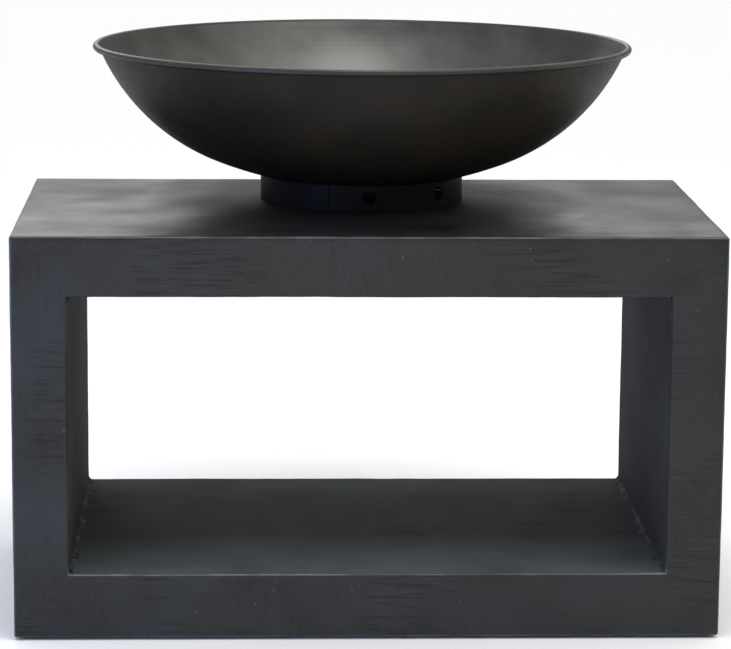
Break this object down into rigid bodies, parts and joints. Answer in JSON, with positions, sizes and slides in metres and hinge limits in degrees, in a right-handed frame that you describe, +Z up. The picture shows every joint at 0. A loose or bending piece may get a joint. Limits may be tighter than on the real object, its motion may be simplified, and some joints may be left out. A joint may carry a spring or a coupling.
{
  "type": "fire pit with grate",
  "caption": "Outdoor fire pit: shallow round steel fire bowl with a rolled rim and a lift-out grate, on a short vented collar over a rectangular open-fronted console.",
  "frame": {"origin": "on the bowl's axis at floor level, which is the middle of the underside of the whole object's box", "axes": "+X along the console, +Z up the bowl's axis, -Y towards the side that faces the user"},
  "size_m": [0.68, 0.5428, 0.5515],
  "materials": {
    "fibre_cement": "satin",
    "corner_mortar": "matte",
    "pad_rubber": "matte",
    "bowl_coating": "satin",
    "collar_coating": "satin",
    "weld_metal": "satin",
    "wire_steel": "satin",
    "grate_steel": "matte"
  },
  "bodies": {
    "console": {"console_top": "fibre_cement", "console_base": "fibre_cement", "console_left_side": "fibre_cement", "console_right_side": "fibre_cement", "corner_mortar_top_left": "corner_mortar", "corner_mortar_base_left": "corner_mortar", "corner_mortar_top_right": "corner_mortar", "corner_mortar_base_right": "corner_mortar", "foot_pad_front_left": "pad_rubber", "foot_pad_rear_left": "pad_rubber", "foot_pad_front_right": "pad_rubber", "foot_pad_rear_right": "pad_rubber"},
    "bowl": {"fire_bowl": "bowl_coating", "rim_wire": "wire_steel", "collar_band": "collar_coating", "collar_seam_weld": "weld_metal", "collar_tack_welds": "weld_metal"},
    "grate": {"grate_ring": "grate_steel", "grate_rail_front": "grate_steel", "grate_rail_rear": "grate_steel", "grate_bar_01": "grate_steel", "grate_bar_02": "grate_steel", "grate_bar_03": "grate_steel", "grate_bar_04": "grate_steel", "grate_bar_05": "grate_steel", "grate_bar_06": "grate_steel", "grate_bar_07": "grate_steel", "grate_bar_08": "grate_steel", "grate_bar_09": "grate_steel", "grate_bar_10": "grate_steel", "grate_bar_11": "grate_steel", "grate_leg_front_left": "grate_steel", "grate_leg_rear_left": "grate_steel", "grate_leg_front_right": "grate_steel", "grate_leg_rear_right": "grate_steel"}
  },
  "joints": [
    {"name": "bowl_lift", "type": "slide", "parent": "console", "child": "bowl", "axis": [0, 0, 1], "range_m": [0, 0.25]},
    {"name": "grate_lift", "type": "slide", "parent": "bowl", "child": "grate", "axis": [0, 0, 1], "range_m": [0, 0.2]}
  ]
}
